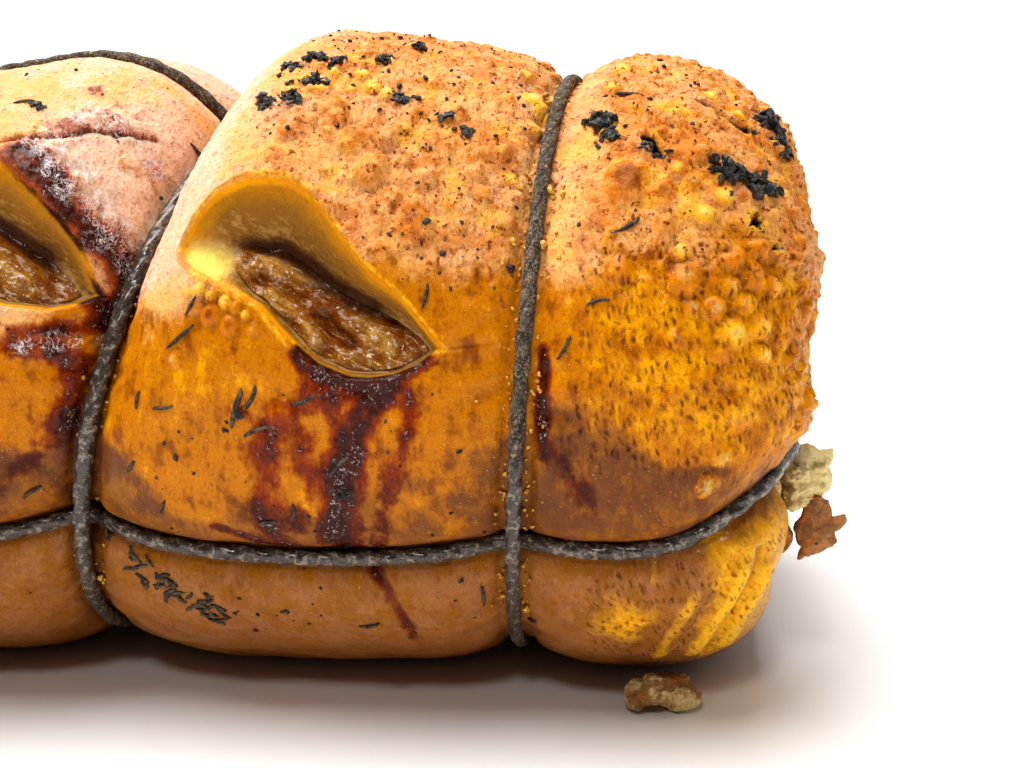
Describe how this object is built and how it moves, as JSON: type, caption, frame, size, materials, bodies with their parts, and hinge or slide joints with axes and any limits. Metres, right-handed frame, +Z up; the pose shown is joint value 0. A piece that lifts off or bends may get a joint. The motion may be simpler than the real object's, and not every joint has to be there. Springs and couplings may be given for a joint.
{
  "type": "porchetta",
  "caption": "Boned and rolled joint of roast pork in golden crackling skin, tied with twine into bulging sections, slit on the front, with herb stuffing showing at the ends.",
  "frame": {"origin": "centre of the bounding box's underside, on the surface the roll lies on", "axes": "+X along the roll, towards the end where stuffing stands out of the seam; -Y towards the side with the slits; +Z up"},
  "size_m": [0.3304, 0.1755, 0.164],
  "materials": {
    "skin": "roasted pork skin, golden to amber, glazed and blistered",
    "stuffing": "rough, matte, greyish beige with green and brown herb bits",
    "twine": "roasted cotton twine, nearly black, matte and twisted"
  },
  "bodies": {
    "root": {"roll": "skin", "stuffing": "stuffing", "fallen_stuffing": "stuffing", "long_loop": "twine", "top_strand": "twine", "tie_a": "twine", "tie_b": "twine", "tie_c": "twine"}
  },
  "joints": []
}
